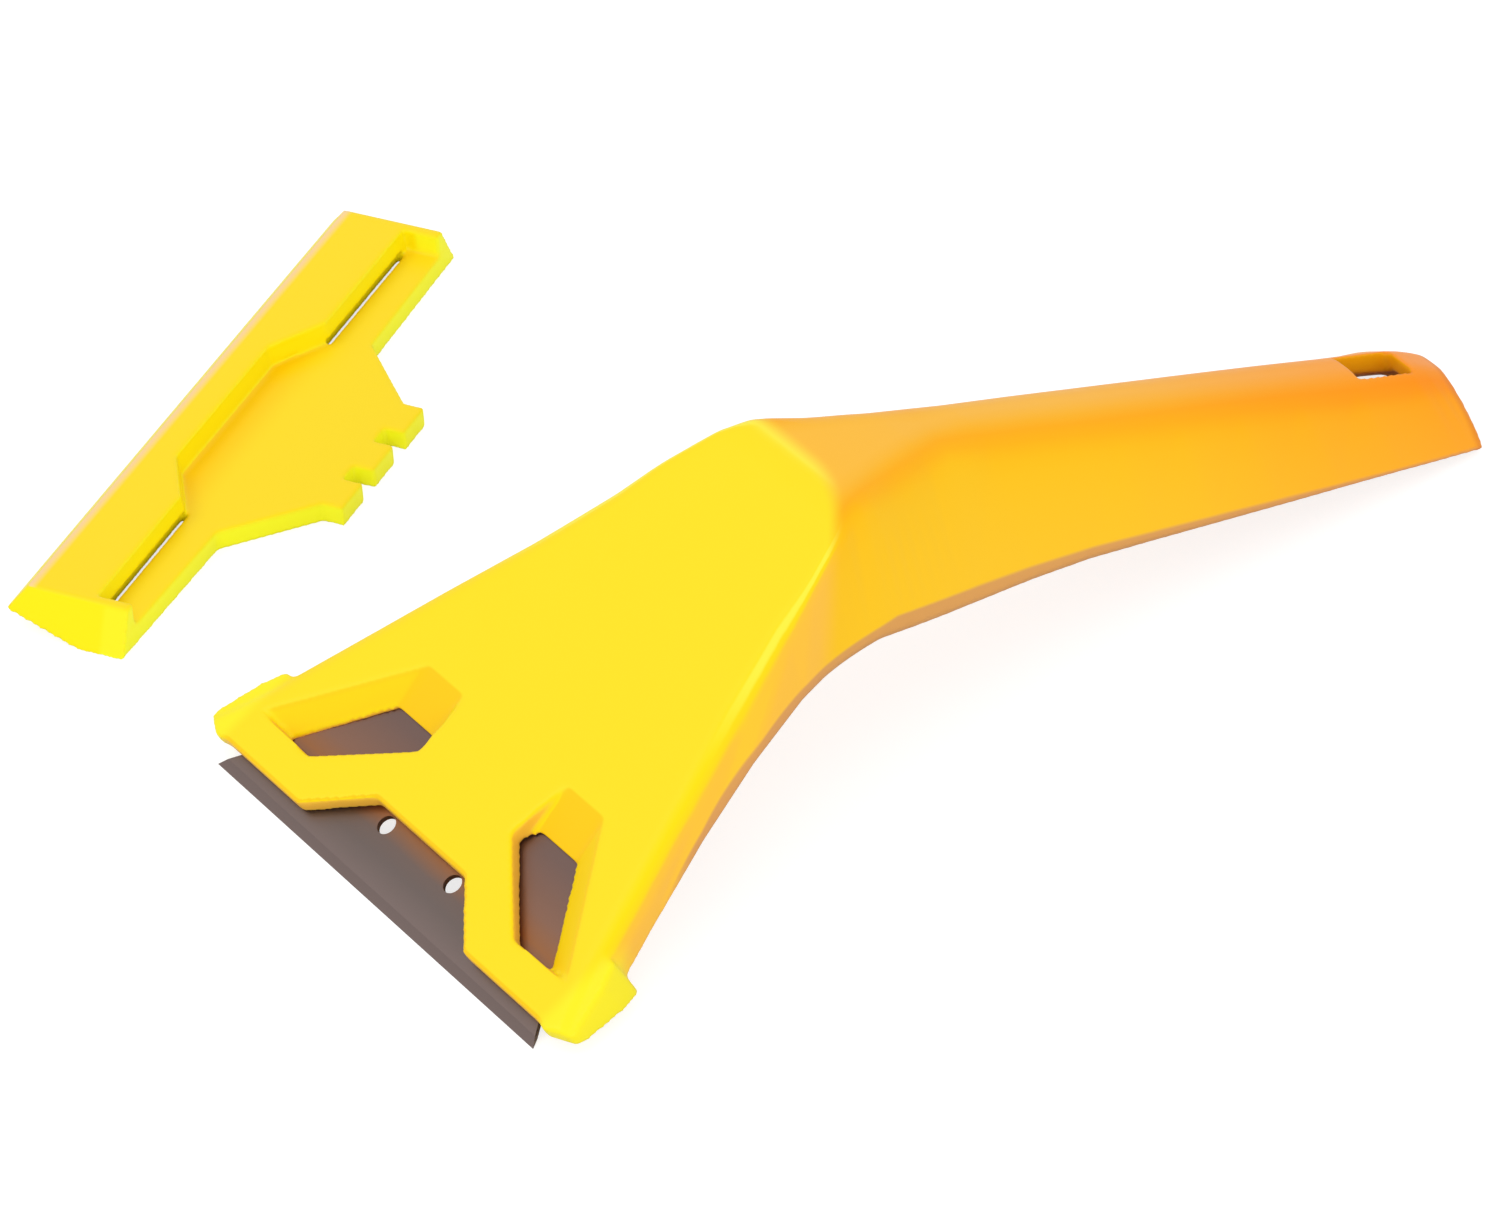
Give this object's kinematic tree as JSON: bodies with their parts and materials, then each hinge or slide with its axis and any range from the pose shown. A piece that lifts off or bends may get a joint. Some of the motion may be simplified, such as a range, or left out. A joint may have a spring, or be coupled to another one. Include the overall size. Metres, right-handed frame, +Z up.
{
  "type": "ceramic hob scraper",
  "caption": "Hand scraper for glass hobs: channel handle with a flat sloping head, a slide-out trapezoid blade and a clip-on blade guard lying beside it.",
  "frame": {"origin": "middle of the blade's cutting edge, on the hob's surface", "axes": "+X along the cutting edge, +Y back along the handle, +Z up from the hob"},
  "size_m": [0.1374, 0.1429, 0.0302],
  "materials": {
    "yellow_plastic": "gloss",
    "blade_steel": "satin",
    "guard_plastic": "gloss"
  },
  "bodies": {
    "tool": {"handle_body": "yellow_plastic"},
    "blade": {"blade": "blade_steel"},
    "guard": {"blade_guard": "guard_plastic"}
  },
  "joints": [
    {"name": "blade_slide", "type": "slide", "parent": "tool", "child": "blade", "axis": [0, -0.8942, -0.4478], "range_m": [0, 0.022]},
    {"name": "guard_lift", "type": "slide", "parent": "tool", "child": "guard", "axis": [0, 0, 1], "range_m": [0, 0.04]}
  ]
}
